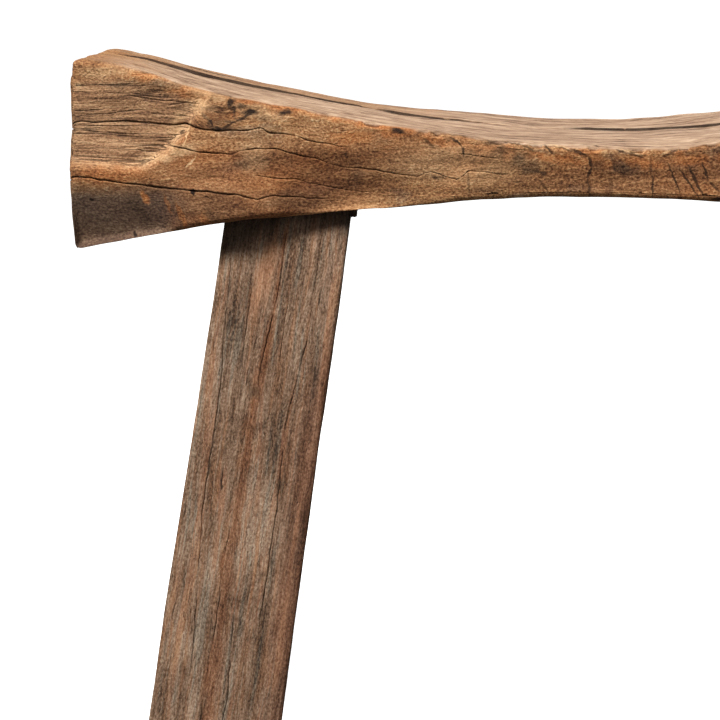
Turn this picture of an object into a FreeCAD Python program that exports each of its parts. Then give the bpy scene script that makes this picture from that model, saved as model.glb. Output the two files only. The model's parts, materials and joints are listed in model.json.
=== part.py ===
import FreeCAD, Part
import math
import os

# Three-legged saddle stool in old elm: a hewn seat beam, three splayed legs and the wedges that lock them.
#
# Frame: +X runs along the seat, +Y to its back, +Z up. The origin is on the floor, under the seat's middle.
# The seat is one timber, left thick at both ends and hewn hollow above and below between them. Two legs
# stand under the -X end and one under the +X end, so the stool does not rock on rough ground. The whole
# section of each leg enters a shallow housing in the underside. Above it, two foxtail wedges spread a
# blind tenon.

# Seat beam, mm
seat_length = 620.0
seat_height = 436.0  # floor to the lowest point of the saddle
middle_thickness = 30.0
end_rise = 46.0  # the saddle climbs this much from the middle to each brow
end_flat = 22.5  # level stretch between a brow and the end face
end_drop = 32.0  # the underside falls this much from the middle to each end
middle_depth = 158.0
end_depth = 174.0
end_bulge = 4.5  # each end face is slightly barrelled
brow_radius = 35.0  # where the saddle turns over onto the level end
top_corner_radius = 12.0
low_corner_radius = 6.0
arris_radius = 5.0  # worn along the front and back outlines

# Legs
leg_inset = 130.0  # end of the seat to the leg's centre line, at the underside
leg_width = 74.5  # along the seat, at the shoulder
leg_thickness = 46.0  # across the seat, at the shoulder
width_growth = 0.018  # mm wider per mm of leg, because the butt of the timber is at the foot
thickness_growth = 0.010
leg_arris = 2.5
splay_along = 8.6  # degrees, outwards along the seat
splay_across = 10.5  # degrees, outwards to front and back, for the pair
pair_setback = 12.0  # face of the seat to face of the leg, at the underside

# Joint
housing_depth = 6.0  # how far the whole section of the leg enters the seat
tenon_width = 44.0
tenon_thickness = 24.0
tenon_length = 38.0  # above the floor of the housing
joint_clearance = 0.3
end_clearance = 2.0  # free space above the tenon
kerf_spacing = 22.0
kerf_width = 1.2
kerf_depth = 30.0
wedge_head = 3.6  # thick end of a foxtail wedge
wedge_clearance = 0.08

# Packing sliver, tapped in beside the front leg, where the housing was cut a little long
sliver_thickness = 2.2
sliver_point = 1.2  # its thickness at the housing's floor
sliver_width = 13.0
sliver_below = 5.0  # how far the broken end hangs under the seat

half_length = seat_length / 2
corner_x = half_length - end_bulge
brow_x = corner_x - end_flat
top_end_z = seat_height + end_rise
low_middle_z = seat_height - middle_thickness
low_end_z = low_middle_z - end_drop
leg_x = half_length - leg_inset
tenon_tip = housing_depth + tenon_length
tip_spread = wedge_head - kerf_width  # how far a wedge pushes its side of the tenon out at the tip
beyond = 50.0  # how far a cutting shape runs past what it cuts

V = FreeCAD.Vector
origin = V(0, 0, 0)
upwards = V(0, 0, 1)


def arc_height(half_chord, rise, x):
    """How far an arc that climbs by rise over half_chord has climbed at x."""
    radius = (half_chord**2 + rise**2) / (2 * rise)
    return radius - math.sqrt(radius**2 - x**2)


def underside_z(x):
    return low_middle_z - arc_height(corner_x, end_drop, x)


def half_depth(x):
    """Half the seat's depth at x: its front and back are slightly waisted."""
    return middle_depth / 2 + arc_height(half_length, (end_depth - middle_depth) / 2, x)


def arc(start, middle, end):
    return Part.Arc(start, middle, end).toShape()


def line(start, end):
    return Part.LineSegment(start, end).toShape()


def prism(edges, along):
    return Part.Face(Part.Wire(edges)).extrude(along)


def polygon_prism(corners, along):
    return Part.Face(Part.makePolygon(corners + corners[:1])).extrude(along)


def rounded(solid, radius, wanted):
    """The solid with every edge that wanted() picks rounded to that radius."""
    return solid.makeFillet(radius, [edge for edge in solid.Edges if wanted(edge)])


def crosses_at(x, z):
    """Picks the straight edges that run across the seat at that x, on both halves, and that height."""

    def wanted(edge):
        spot = edge.CenterOfMass
        return abs(abs(spot.x) - x) < 1e-3 and abs(spot.z - z) < 1e-3

    return wanted


def on_long_face(edge):
    """Picks the edges that lie on the seat's waisted front or back face."""
    first, last = edge.ParameterRange
    spots = [edge.valueAt(first + (last - first) * share) for share in (0.25, 0.5, 0.75)]
    return all(abs(abs(spot.y) - half_depth(spot.x)) < 1e-3 for spot in spots)


def side_profile():
    """The seat's side outline, carried right across it."""
    y = -end_depth / 2 - beyond
    bulge_z = (top_end_z + low_end_z) / 2
    low_left = V(-corner_x, y, low_end_z)
    low_right = V(corner_x, y, low_end_z)
    top_right = V(corner_x, y, top_end_z)
    top_left = V(-corner_x, y, top_end_z)
    brow_right = V(brow_x, y, top_end_z)
    brow_left = V(-brow_x, y, top_end_z)
    profile = prism(
        [
            arc(low_left, V(0, y, low_middle_z), low_right),
            arc(low_right, V(half_length, y, bulge_z), top_right),
            line(top_right, brow_right),
            arc(brow_right, V(0, y, seat_height), brow_left),
            line(brow_left, top_left),
            arc(top_left, V(-half_length, y, bulge_z), low_left),
        ],
        V(0, -2 * y, 0),
    )
    profile = rounded(profile, top_corner_radius, crosses_at(corner_x, top_end_z))
    profile = rounded(profile, brow_radius, crosses_at(brow_x, top_end_z))
    return rounded(profile, low_corner_radius, crosses_at(corner_x, low_end_z))


def plan_profile():
    """The seat's outline from above, carried through its whole height."""
    z = low_end_z - beyond
    wide = end_depth / 2
    narrow = middle_depth / 2
    front_left = V(-half_length, -wide, z)
    front_right = V(half_length, -wide, z)
    back_right = V(half_length, wide, z)
    back_left = V(-half_length, wide, z)
    return prism(
        [
            arc(front_left, V(0, -narrow, z), front_right),
            line(front_right, back_right),
            arc(back_right, V(0, narrow, z), back_left),
            line(back_left, front_left),
        ],
        V(0, 0, top_end_z - low_end_z + 2 * beyond),
    )


def seat_blank():
    """The seat before its mortises are cut."""
    blank = side_profile().common(plan_profile()).Solids[0]
    return rounded(blank, arris_radius, on_long_face)


def leg_placement(x, y, along, across):
    """A leg's own frame: its origin on the seat's underside, its +Z up the leg's centre line."""
    lean = V(-math.tan(math.radians(along)), -math.tan(math.radians(across)), 1)
    return FreeCAD.Placement(V(x, y, underside_z(abs(x))), FreeCAD.Rotation(upwards, lean))


def leg_bar(length):
    """The leg's tapered section from the floor of its housing down past the ground, arrises eased."""
    top_wide = (leg_width - width_growth * housing_depth) / 2
    top_thick = (leg_thickness - thickness_growth * housing_depth) / 2
    low_wide = (leg_width + width_growth * length) / 2
    low_thick = (leg_thickness + thickness_growth * length) / 2
    # the wedge shape tapers along +Y, so it is made lying down and then stood up
    bar = Part.makeWedge(
        -low_wide, -length, -low_thick, -top_thick, -top_wide,
        low_wide, housing_depth, low_thick, top_thick, top_wide,
    )
    bar.rotate(origin, V(1, 0, 0), 90)
    return rounded(bar, leg_arris, lambda edge: edge.Length > length)


def spread_tenon(grow, tip):
    """The tenon as the wedges leave it, wider at the tip, with every cheek moved out by grow."""
    foot = -housing_depth
    root = tenon_width / 2 + grow
    wide = root + tip_spread * (tip - housing_depth) / tenon_length
    cheek = -tenon_thickness / 2 - grow
    corners = [
        V(-root, cheek, foot),
        V(root, cheek, foot),
        V(root, cheek, housing_depth),
        V(wide, cheek, tip),
        V(-wide, cheek, tip),
        V(-root, cheek, housing_depth),
    ]
    return polygon_prism(corners, V(0, -2 * cheek, 0))


def kerf_wedge(side, gap, thickness):
    """What fills one saw kerf once it is driven open: upright on its inner side, leaning on its outer."""
    inner = kerf_spacing / 2 + gap
    low = tenon_tip - kerf_depth + gap
    corners = [
        V(side * inner, -thickness / 2, low),
        V(side * (inner + kerf_width - 2 * gap), -thickness / 2, low),
        V(side * (inner + wedge_head - 2 * gap), -thickness / 2, tenon_tip),
        V(side * inner, -thickness / 2, tenon_tip),
    ]
    return polygon_prism(corners, V(0, thickness, 0))


def leg(placement):
    """A leg with its spread tenon and the kerfs in it, its foot cut level on the floor."""
    length = 2 * seat_height
    whole = leg_bar(length).fuse(spread_tenon(0.0, tenon_tip))
    for side in (-1, 1):
        whole = whole.cut(kerf_wedge(side, 0.0, tenon_thickness + beyond))
    whole.Placement = placement
    reach = 2 * seat_length
    ground = Part.makeBox(2 * reach, 2 * reach, 2 * seat_height, V(-reach, -reach, -2 * seat_height))
    return whole.cut(ground).removeSplitter().Solids[0]


def mortise(placement, room_inside):
    """What the seat loses to one leg: a housing for its section and a socket for its spread tenon."""
    width = leg_width + 2 * joint_clearance
    thickness = leg_thickness + 2 * joint_clearance
    corner = V(-width / 2, -thickness / 2, -beyond)
    housing = Part.makeBox(width + room_inside, thickness, beyond + housing_depth + joint_clearance, corner)
    void = housing.fuse(spread_tenon(joint_clearance, tenon_tip + end_clearance))
    void.Placement = placement
    return void


def packing_sliver(placement):
    """A thin sliver between the front leg's inner side and the long end of its housing."""
    against_leg = (leg_width + joint_clearance) / 2
    corners = [
        V(against_leg + width_growth * sliver_below, -sliver_width / 2, -sliver_below),
        V(against_leg + sliver_thickness, -sliver_width / 2, -sliver_below),
        V(against_leg + sliver_thickness, -sliver_width / 2, 0),
        V(against_leg + sliver_point, -sliver_width / 2, housing_depth),
        V(against_leg, -sliver_width / 2, housing_depth),
        V(against_leg, -sliver_width / 2, 0),
    ]
    sliver = polygon_prism(corners, V(0, sliver_width, 0))
    sliver.Placement = placement
    return sliver


def build():
    pair_y = half_depth(leg_x) - pair_setback - leg_thickness / 2
    placements = {
        "front": leg_placement(-leg_x, -pair_y, -splay_along, -splay_across),
        "rear": leg_placement(-leg_x, pair_y, -splay_along, splay_across),
        "single": leg_placement(leg_x, 0, splay_along, 0),
    }
    parts = {}
    seat = seat_blank()
    for name, placement in placements.items():
        room_inside = sliver_thickness + joint_clearance if name == "front" else 0.0
        seat = seat.cut(mortise(placement, room_inside))
        parts[f"{name}_leg"] = leg(placement)
        for side, label in ((-1, "left"), (1, "right")):
            wedge = kerf_wedge(side, wedge_clearance, tenon_thickness)
            wedge.Placement = placement
            parts[f"{name}_leg_{label}_wedge"] = wedge
    parts["packing_sliver"] = packing_sliver(placements["front"])
    parts["seat_beam"] = seat.Solids[0]
    return parts


os.makedirs("parts", exist_ok=True)
for node, shape in build().items():
    shape.exportStep(f"parts/{node}.step")
    box = shape.optimalBoundingBox()
    size = f"{box.XLength:.1f} x {box.YLength:.1f} x {box.ZLength:.1f} mm"
    print(f"{node}: {size}, {shape.Volume / 1000:.1f} cm3, valid {shape.isValid()}")
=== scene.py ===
import json
import math
from functools import partial

import bmesh
import bpy
import numpy as np
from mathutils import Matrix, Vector, noise

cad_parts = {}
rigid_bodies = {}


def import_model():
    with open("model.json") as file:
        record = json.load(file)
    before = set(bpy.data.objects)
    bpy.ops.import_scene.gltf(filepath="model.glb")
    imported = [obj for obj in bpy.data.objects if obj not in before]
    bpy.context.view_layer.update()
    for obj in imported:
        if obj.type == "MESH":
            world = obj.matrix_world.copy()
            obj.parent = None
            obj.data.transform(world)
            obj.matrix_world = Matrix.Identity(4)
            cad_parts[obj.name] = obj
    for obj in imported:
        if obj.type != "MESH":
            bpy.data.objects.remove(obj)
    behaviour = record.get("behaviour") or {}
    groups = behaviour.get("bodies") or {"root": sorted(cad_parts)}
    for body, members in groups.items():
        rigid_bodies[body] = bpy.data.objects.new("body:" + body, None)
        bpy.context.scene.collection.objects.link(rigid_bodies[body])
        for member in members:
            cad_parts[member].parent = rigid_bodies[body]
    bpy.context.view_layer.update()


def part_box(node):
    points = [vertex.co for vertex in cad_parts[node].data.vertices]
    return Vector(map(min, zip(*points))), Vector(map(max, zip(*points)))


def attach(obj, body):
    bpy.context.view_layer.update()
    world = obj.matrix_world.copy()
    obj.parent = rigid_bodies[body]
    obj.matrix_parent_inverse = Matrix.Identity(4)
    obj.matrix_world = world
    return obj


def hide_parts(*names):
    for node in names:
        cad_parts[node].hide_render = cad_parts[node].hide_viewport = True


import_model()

# An old three-legged saddle stool of hewn elm. Sizes and places in the dictionaries are millimetres, in the
# frame of the CAD parts: +X along the seat to the single leg, +Y to the back, +Z up from the floor.
mm = 0.001
seatLow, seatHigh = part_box("seat_beam")
halfLength = seatHigh[0] / mm


def say(words):
    print("stool:", words)


def smooth(start, end, value):
    t = np.clip((value - start) / (end - start), 0.0, 1.0)
    return t * t * (3 - 2 * t)


def softMin(a, b, blend):
    h = np.clip(0.5 + 0.5 * (b - a) / blend, 0.0, 1.0)
    return b + (a - b) * h - blend * h * (1 - h)


def follow(points, at, column=1):
    # the value of a hand-set curve at each place
    return np.interp(at, [p[0] for p in points], [p[column] for p in points])


def wobble(points, sizes, seed):
    # smooth noise in lumps of these sizes; the gain brings it to about -1 to 1
    gain = 1.6
    scaled = points / np.asarray(sizes, float) + seed
    return np.array([noise.noise(p) for p in scaled.tolist()]) * gain


def lumpy(points, layers):
    # lumps of several sizes summed; a layer is (sizes of its lumps, seed, height)
    return sum(wobble(points, sizes, seed) * height for sizes, seed, height in layers)


def arcRise(halfChord, rise, at):
    # how far an arc that climbs by rise over halfChord has climbed
    radius = (halfChord**2 + rise**2) / (2 * rise)
    return radius - np.sqrt(np.maximum(radius**2 - at**2, 0.0))


def blob(u, v, centre, size):
    return np.exp(-(((u - centre[0]) / size[0]) ** 2 + ((v - centre[1]) / size[1]) ** 2))


def patch(u, v, centre, size):
    # like a blob, but even inside and quicker at its edge
    return np.exp(-((((u - centre[0]) / size[0]) ** 2 + ((v - centre[1]) / size[1]) ** 2) ** 2))


def gridBox(counts):
    # a cube of side 2 cut into that many cells along x, y and z
    bm = bmesh.new()
    bmesh.ops.create_cube(bm, size=2.0)
    for axis, count in enumerate(counts):
        edges = [e for e in bm.edges if abs(e.verts[0].co[axis] - e.verts[1].co[axis]) > 1e-6]
        bmesh.ops.subdivide_edges(bm, edges=edges, cuts=count - 1, use_grid_fill=True)
    cube = np.array([v.co for v in bm.verts])
    indices = [np.rint((cube[:, n] + 1) / 2 * counts[n]).astype(int) for n in range(3)]
    return bm, cube, indices


def spaced(anchors, steps):
    # every gap between anchors is cut evenly into cells of about its step
    places = [anchors[0]]
    for start, end, step in zip(anchors, anchors[1:], steps):
        cells = max(1, round(abs(end - start) / step))
        places += [start + (end - start) * n / cells for n in range(1, cells + 1)]
    return np.array(places)


# Drying checks. Each has five rows of mesh of its own: its floor, two lips, and one beyond each lip.
# A gap is the number of rows between two checks.
edgeRows = 4
checkRows = 4
drying = {
    "wander": 0.45,  # how far a check strays from its set line
    "wanderStep": 4.3,
    "ragged": 0.5,  # the share by which its width varies
    "raggedStep": 5.7,
    "raggedSeed": 90,
    "margin": 0.7,  # from a lip to sound wood
    "bridge": (0.5, 0.9),  # how strongly a broken check is bridged: on the whole, and from place to place
    "bridgeStep": 11,
    "bridgeSeed": 17,
    "darkDepth": 1.5,  # from this depth on, the floor is fully dark
    "wallDepths": (3.0, 6.0),  # the walls darken between these depths
}


def rowPlan(checks, gap):
    floors = [edgeRows + gap + n * (checkRows + gap) + checkRows // 2 for n in range(len(checks))]
    total = floors[-1] + checkRows // 2 + gap + edgeRows
    return floors, total


def jitter(at, seed, step):
    # a fixed uneven curve, one new height every few millimetres
    count = 400
    heights = np.random.default_rng(seed).uniform(-1, 1, count)
    return np.interp(at, (np.arange(count) - count // 2) * step, heights)


def rowPlaces(index, at, checks, gap, start, end, arris):
    # where each row lies between the start and end of a face: rows bunch up at the arrises and the checks
    floors, total = rowPlan(checks, gap)
    rows = [0, edgeRows]
    places = [start, start + arris]
    for floor, check in zip(floors, checks):
        stray = jitter(at, floor, drying["wanderStep"]) * drying["wander"]
        centre = start + follow(check, at) * (end - start) + stray
        uneven = 1 + drying["ragged"] * jitter(at, floor + drying["raggedSeed"], drying["raggedStep"])
        halfWidth = follow(check, at, 2) / 2 * uneven
        sound = halfWidth + drying["margin"]
        rows += [floor - 2, floor - 1, floor, floor + 1, floor + 2]
        places += [centre - sound, centre - halfWidth, centre, centre + halfWidth, centre + sound]
    rows += [total - edgeRows, total]
    places += [end - arris, end]
    result = np.zeros(len(index))
    for n in range(len(rows) - 1):
        inside = (index >= rows[n]) & (index <= rows[n + 1])
        share = (index[inside] - rows[n]) / (rows[n + 1] - rows[n])
        result[inside] = places[n][inside] * (1 - share) + places[n + 1][inside] * share
    return result


def cutChecks(points, crack, onFace, index, at, checks, gap, inward, wallDark, broken):
    # the floor row of each check is pushed into the timber; a broken check closes up every centimetre or so
    for floor, check in zip(rowPlan(checks, gap)[0], checks):
        chosen = onFace & (index == floor)
        overall, local = drying["bridge"]
        uneven = jitter(at[chosen], floor + drying["bridgeSeed"], drying["bridgeStep"])
        depth = follow(check, at[chosen], 3) * np.clip(1 - broken * (overall + local * uneven), 0, 1)
        points[chosen] += depth[:, None] * inward
        # painted shade: a check's floor is darkened by its depth, standing in for the shade inside the groove
        crack[chosen] = np.maximum(crack[chosen], smooth(0.0, drying["darkDepth"], depth))
        # the walls of a deep check are darkened too, as painted shade
        for lip in (floor - 1, floor + 1):
            wall = onFace & (index == lip)
            shade = wallDark * smooth(*drying["wallDepths"], follow(check, at[wall], 3))
            crack[wall] = np.maximum(crack[wall], shade)


def rollArris(sharp, low, high, radius):
    # every point is pulled onto a ball rolled inside the sharp outline, which rounds edges and corners
    inner = np.clip(sharp, low + radius, high - radius)
    away = sharp - inner
    normals = away / np.maximum(np.linalg.norm(away, axis=1, keepdims=True), 1e-9)
    return inner + radius * normals, normals


def finishPiece(bm, name, points, attributes, fibre, replaced):
    # fibre is each point's place in the timber, with x along the grain; the materials draw the grain in it
    for vertex, place in zip(bm.verts, points * mm):
        vertex.co = place
    mesh = bpy.data.meshes.new(name)
    bm.to_mesh(mesh)
    bm.free()
    for key, values in attributes.items():
        layer = mesh.attributes.new(key, "FLOAT", "POINT")
        layer.data.foreach_set("value", np.asarray(values, dtype=np.float32))
    layer = mesh.attributes.new("fibre", "FLOAT_VECTOR", "POINT")
    layer.data.foreach_set("vector", np.asarray(fibre * mm, dtype=np.float32).ravel())
    mesh.polygons.foreach_set("use_smooth", [True] * len(mesh.polygons))
    piece = bpy.data.objects.new(name, mesh)
    bpy.context.scene.collection.objects.link(piece)
    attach(piece, "root")
    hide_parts(replaced)
    say(f"{name}, {len(mesh.polygons)} faces")
    return piece


# Seat. Curves are lists of (place along the seat, value)
seat = {
    "saddleLow": 436.0,  # floor to the lowest point of the saddle
    "thickness": 30.0,  # at the middle
    "rise": 46.0,  # from the lowest point to the ends
    "brow": 283.0,  # where the saddle turns over onto the level end
    "browBlend": 5.0,
    "drop": 32.0,  # how far the underside falls from the middle to the ends
    "endBulge": 4.5,
    "middleDepth": 158.0,
    "endDepth": 174.0,
    "arris": 4.0,
    "corner": 9.0,  # rounding where the top meets an end face
    "cornerShare": 0.9,  # that corner is a little flatter than a quarter circle
    "endSkew": 6.0,  # the left end face stands this much further out at the back
    # mesh: cell lengths between the stations, finest where the timber is most marked
    "stations": (-190, -110, 92, 296),
    "endBand": 5,
    "cells": (1.0, 1.65, 2.0, 1.35, 4.6, 2.4, 1.0),
    # a check is a list of (place along, share of the face, width, depth), from low to high or front to back
    "frontGap": 7,
    "frontBroken": 0.6,
    "frontChecks": [
        [(-310, 0.4, 0.8, 6), (-287, 0.352, 0.8, 6), (-264, 0.306, 1, 7), (-236, 0.275, 1.2, 7),
        (-209, 0.225, 0.8, 5), (-198, 0.178, 0.7, 4), (-188, 0.198, 0.6, 3), (-163, 0.15, 0.5, 1.5),
        (-158, 0.14, 0.3, 0), (60, 0.14, 0.3, 0), (310, 0.2, 0.3, 0)],
        [(-310, 0.5, 0.3, 0), (-199, 0.37, 0.3, 0), (-195, 0.36, 0.6, 1), (-177, 0.34, 0.7, 1.5),
        (-158, 0.267, 0.6, 1.5), (-137, 0.2, 0.5, 1), (-130, 0.2, 0.3, 0), (310, 0.35, 0.3, 0)],
        [(-310, 0.58, 0.3, 0), (-253, 0.57, 0.3, 0), (-248, 0.567, 0.7, 2), (-232, 0.549, 0.8, 2.5),
        (-213, 0.547, 0.5, 1), (-208, 0.58, 0.3, 0), (-204, 0.59, 0.6, 1), (-185, 0.61, 0.6, 1.5),
        (-172, 0.563, 0.7, 1.5), (-162, 0.541, 0.5, 1), (-155, 0.5, 0.3, 0), (-148, 0.479, 0.6, 1),
        (-127, 0.46, 0.7, 1.5), (-103, 0.372, 0.5, 1), (-99, 0.42, 0.3, 0), (-95, 0.45, 0.6, 1.5),
        (-80, 0.34, 0.6, 1.5), (-77, 0.38, 0.3, 0), (-73, 0.47, 0.6, 1.5), (-53, 0.423, 0.6, 1),
        (-48, 0.42, 0.3, 0), (310, 0.5, 0.3, 0)],
        [(-310, 0.68, 0.7, 5), (-293, 0.666, 0.7, 5), (-276, 0.687, 0.8, 5), (-247, 0.708, 0.8, 6),
        (-241, 0.726, 1, 6), (-223, 0.713, 0.8, 5), (-209, 0.731, 0.7, 4), (-195, 0.775, 0.5, 1),
        (-191, 0.74, 0.8, 2.5), (-175, 0.75, 0.6, 1.5), (-170, 0.725, 0.8, 2), (-149, 0.69, 0.5, 1),
        (-145, 0.69, 0.3, 0), (-79, 0.73, 0.3, 0), (-75, 0.73, 0.6, 1.5), (-59, 0.69, 0.5, 1),
        (-55, 0.69, 0.3, 0), (310, 0.68, 0.3, 0)],
        [(-310, 0.86, 0.3, 0), (-276, 0.845, 0.3, 0), (-268, 0.84, 0.5, 1.2), (-252, 0.855, 0.6, 1.6),
        (-233, 0.876, 0.4, 1), (-228, 0.876, 0.3, 0), (310, 0.86, 0.3, 0)],
    ],
    "topGap": 11,
    "topChecks": [
        [(-310, 0.35, 0.4, 0), (310, 0.32, 0.4, 0)],
        [(-310, 0.65, 0.4, 0), (-296, 0.655, 1.6, 4), (-270, 0.665, 4, 8), (-245, 0.67, 5, 9),
        (-200, 0.67, 4.6, 9), (-150, 0.665, 3, 7), (-128, 0.66, 1.6, 4), (-112, 0.6, 4, 7), (-80, 0.6, 3, 6),
        (-50, 0.62, 1.4, 3), (-30, 0.64, 1, 3), (-5, 0.66, 1.4, 4), (10, 0.67, 2.6, 6), (50, 0.62, 3, 7),
        (80, 0.575, 3, 7), (120, 0.56, 2.4, 5), (200, 0.58, 1.2, 3), (240, 0.62, 0.4, 0),
        (310, 0.68, 0.4, 0)],
        [(-310, 0.85, 0.4, 0), (-262, 0.85, 0.4, 0), (-250, 0.845, 2, 5), (-190, 0.85, 2.4, 5),
        (-140, 0.86, 1.8, 4), (-100, 0.86, 0.4, 0), (310, 0.83, 0.4, 0)],
    ],
    "endCheckReach": 100.0,  # the front's checks run this far across the left end
    "backCheck": (37, 8, 4),  # on the back and right end: length of a stretch, steepness, greatest depth
    # how far the hewn edges stand off the true arcs
    "frontLift": [(-310, 4.5), (-290, 2.5), (-238, 2.5), (-198, 4), (-113, 3.5), (-55, 0.5), (0, -2),
        (40, -3.5), (110, -1), (310, 0)],
    "backLift": [(-310, 0.5), (-286, -2.5), (-253, -0.5), (-187, 1), (-120, 2), (-55, 1.8), (0, 0),
        (110, -2), (310, -2)],
    "underLift": [(-310, 0), (-200, -0.9), (-123, -4.4), (-94, -3.1), (-65, -1.8), (-37, -2), (50, -2.6),
        (78, -2.4), (150, -2), (310, 0)],
    # how far the top sinks before it reaches its long check; the strip behind stands up again
    "topStep": [(-310, 0), (-298, 0.3), (-286, 0.9), (-262, 1.5), (-235, 1.8), (-205, 1.6), (-180, 0.9),
        (-150, 0.8), (-130, 0.6), (-115, 1.5), (-100, 1.2), (-80, 1), (-60, 0.5), (-30, 0.2), (8, 0.6),
        (30, 1.3), (70, 1.3), (110, 0.8), (310, 0)],
    "stepShares": (0.25, 0.70),  # it sinks between these shares of the depth
    # how far the low front edge bellies out, and shrinks back beside the leg
    "belly": [(-310, 0), (-262, 0), (-232, 5), (-208, 8), (-190, 4), (-172, -1), (-155, -4), (-140, -5),
        (-118, -3), (-80, 0), (310, 0)],
    "bellyHeights": (442, 400),
    # the end faces lean: how far each stands in from the end, by height
    "endLean": [(374, 2.5), (384, 1), (400, 0.3), (425, 1), (450, 2.2), (482, 2.8)],
    # the scarf hewn out of the front at the left end: its lower ridge and its brow, as heights
    "hollowRidge": [(-310, 422), (-269, 419), (-260, 422), (-248, 432), (-239, 440), (-233, 452),
        (-224, 465), (-215, 490)],
    "hollowBrow": [(-310, 474), (-287, 477), (-269, 475), (-254, 470), (-239, 464), (-224, 460)],
    "ridgeWidth": 8,
    "hollowDepth": 6.5,
    "hollowShoaling": 3.5,  # how much shallower it is at the top
    "hollowReach": 40.0,  # how far back it runs
    "swelling": {"place": (-222, 440), "size": (26, 22), "height": 4.0},
    "turnedUnder": {"from": -226, "to": -262, "below": 417, "reach": 50, "depth": 12.5},
    "knot": {"place": (-218, 458), "size": (16, 10), "bend": 10},
    "lumps": [((70, 60, 28), 3.1, 1.1), ((22, 22, 9), 11.7, 0.35), ((14, 6, 2.4), 23.9, 0.14)],
    "chips": [((7, 30, 30), 41.3, 1.0), ((2.6, 9, 9), 43.3, 0.5)],
    "chipDepth": 4.5,
    "worn": (-190, -120),  # the front arris is worn from here on
    # thin strokes on the front: place along, height, half length, half width, lean in degrees, strength
    "nicks": [
        (-80.4, 437.3, 4.4, 0.9, -48, 1), (-76.6, 431.5, 3.4, 0.8, -5, 1), (-73.2, 412, 9, 0.8, -3, 0.5),
        (-97, 437, 4, 1.2, -50, 0.8), (-38, 433.7, 4.4, 0.8, -60, 0.8), (-25.2, 432.4, 4.6, 0.9, -45, 1),
        (-13, 432.3, 11, 0.6, -78, 0.7), (-48, 436.6, 8, 0.6, -80, 0.7), (-6.9, 430.8, 5.8, 1, -65, 1),
        (-0.9, 425.3, 4, 1.1, -15, 1), (-1.2, 419, 3.8, 0.9, 22, 1), (-1.2, 410, 6.8, 0.8, -11, 0.8),
        (13, 424, 6, 0.8, -15, 0.7), (12.2, 410, 6, 1.4, -5, 0.4), (22.8, 430, 9, 0.7, -75, 0.8),
        (46, 430, 5.2, 0.8, 66, 0.8), (36.9, 411, 7.2, 0.8, -3, 1), (35.5, 422, 4.5, 0.8, -5, 0.6),
        (49.2, 416, 10.5, 0.7, -24, 1), (58.2, 413, 12, 0.7, -35, 1), (62.4, 414, 11.5, 1, -28, 1),
        (67.8, 419.6, 6.6, 0.8, -22, 1), (73.8, 410.6, 4.8, 0.8, -50, 0.8), (-28, 411, 6, 0.7, -40, 0.6),
        (-224.6, 449.4, 3.2, 0.8, -30, 1), (-220.6, 446.2, 2.6, 0.8, -82, 1), (-214.2, 448, 4.8, 0.8, 64, 1),
        (-204.6, 452.9, 6.2, 1, 62, 1), (-214.5, 465.6, 2.6, 1.3, -50, 1), (-213.6, 461, 2.4, 1.7, 20, 1),
        (-211.8, 457.6, 1.8, 1.2, -30, 1), (-201.8, 455.6, 3.2, 1.4, 75, 1), (-181, 454.7, 3.8, 1.2, 84, 1),
        (-115, 443.5, 4.2, 1.4, 80, 0.9), (-28.2, 418.4, 2.2, 1.6, 90, 0.9), (75.5, 403.2, 3.4, 1.6, 80, 1),
        (-297.1, 403.3, 1.2, 1.2, 0, 1.7), (-272.4, 382, 1.3, 1.3, 0, 1.7), (-236.6, 408.6, 2, 1.8, 0, 1.7),
        (-196, 389, 1.1, 1.1, 0, 1.2), (53.4, 403.4, 1.6, 1, 90, 1), (45, 402.5, 2, 0.9, 90, 0.9),
    ],
    "amberStrokes": [
        (-265.6, 404.6, 5.2, 2, -24, 1), (-243.8, 394, 8.6, 1.9, -21, 1), (-229.5, 391, 5, 1.8, -45, 0.8),
        (-252, 401, 6, 1.4, -18, 0.5),
    ],
    # pale scratches, and strokes of painted highlight along the hollow's ridge
    "paleAndRidgeLightStrokes": [
        (-238.6, 445, 7.4, 0.6, 14, 1), (-241, 437, 5, 0.7, 24, 1), (-237.4, 426, 5.4, 0.5, 42, 0.9),
        (-266, 433, 4, 0.5, -35, 0.7), (22, 431.4, 7.5, 0.7, -75, 0.8), (44, 431.2, 4, 0.7, 66, 0.8),
        (-19, 434.2, 8, 0.6, -78, 0.7),
    ],
}

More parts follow.
